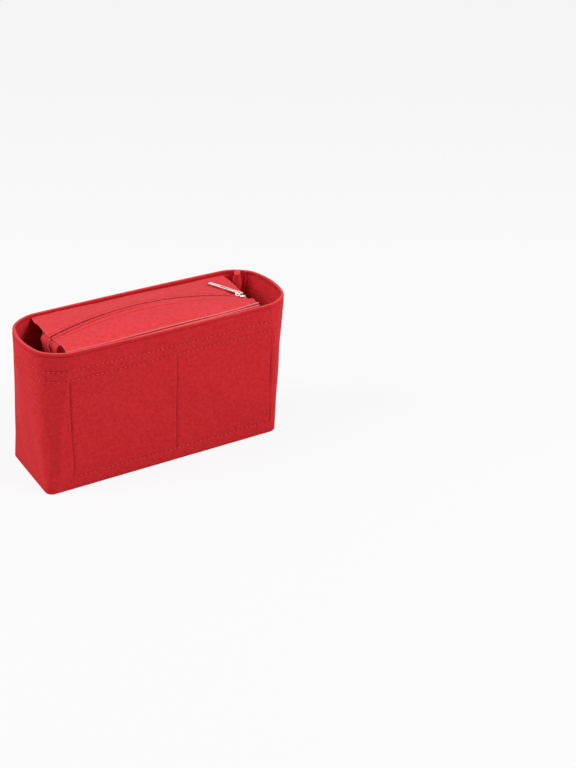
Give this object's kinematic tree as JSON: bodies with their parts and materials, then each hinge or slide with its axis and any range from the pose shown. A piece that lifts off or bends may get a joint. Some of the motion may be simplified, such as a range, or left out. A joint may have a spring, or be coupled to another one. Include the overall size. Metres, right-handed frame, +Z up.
{
  "type": "purse organizer insert",
  "caption": "Open felt bin that stands inside a handbag, with inner pockets round its long sides and a zipped felt pouch that rests inside and lifts out.",
  "frame": {"origin": "on the rest face, under the middle of the base panel", "axes": "+X along the bin to the right, +Y to the back, +Z up"},
  "size_m": [0.2742, 0.1051, 0.157],
  "materials": {
    "felt_wall": "pressed wool felt, matt, fine loose fibres",
    "felt_facing": "pressed wool felt, matt",
    "felt_pocket": "thinner pressed wool felt, matt",
    "felt_pouch": "pressed wool felt, matt",
    "thread": "polyester sewing thread, slight sheen",
    "zip_tape": "woven polyester tape",
    "zip_coil": "nylon coil",
    "nickel": "bright nickel plate"
  },
  "bodies": {
    "bin": {"bin_wall": "felt_wall", "rim_facing": "felt_facing", "base_panel": "felt_wall", "rim_edge_stitch": "thread", "band_upper_stitch": "thread", "band_lower_stitch": "thread", "base_seam_stitch": "thread", "wall_seam_stitch": "thread", "front_pocket_panel": "felt_pocket", "front_pocket_left_stitch": "thread", "front_pocket_middle_stitch": "thread", "front_pocket_right_stitch": "thread", "front_pocket_bottom_stitch": "thread", "back_pocket_panel": "felt_pocket", "back_pocket_left_stitch": "thread", "back_pocket_middle_stitch": "thread", "back_pocket_right_stitch": "thread", "back_pocket_bottom_stitch": "thread"},
    "pouch": {"pouch_top_front": "felt_pouch", "pouch_top_back": "felt_pouch", "zip_front_topstitch": "thread", "zip_back_topstitch": "thread", "zip_tape_front": "zip_tape", "zip_tape_back": "zip_tape", "zip_coil_front": "zip_coil", "zip_coil_back": "zip_coil", "zip_bottom_stop": "nickel", "zip_top_stop_front": "nickel", "zip_top_stop_back": "nickel", "pouch_shell": "felt_pouch", "pouch_left_gusset": "felt_pouch", "pouch_right_gusset": "felt_pouch", "pouch_left_gusset_stitch": "thread", "pouch_right_gusset_stitch": "thread", "pouch_front_edge_stitch": "thread", "pouch_back_edge_stitch": "thread"},
    "slider": {"zip_slider": "nickel"},
    "link": {"pull_link": "nickel"},
    "tab": {"pull_tab": "nickel"}
  },
  "joints": [
    {"name": "pouch_lift", "type": "slide", "parent": "bin", "child": "pouch", "axis": [0, 0, 1], "range_m": [0, 0.17]},
    {"name": "slider_travel", "type": "hinge", "parent": "pouch", "child": "slider", "pos_m": [-0.00307, -0.22217, -0.16325], "axis": [0.0065, -0.8245, 0.5658], "range_deg": [0, 27.6]},
    {"name": "pull_swivel", "type": "hinge", "parent": "slider", "child": "link", "pos_m": [0.10528, -0.01103, 0.14622], "axis": [0.2327, -0.017, 0.9724], "range_deg": [0, 62]},
    {"name": "pull_flip", "type": "hinge", "parent": "link", "child": "tab", "pos_m": [0.10325, -0.00728, 0.14677], "axis": [0.8504, 0.4886, -0.195], "range_deg": [0, 110]}
  ]
}
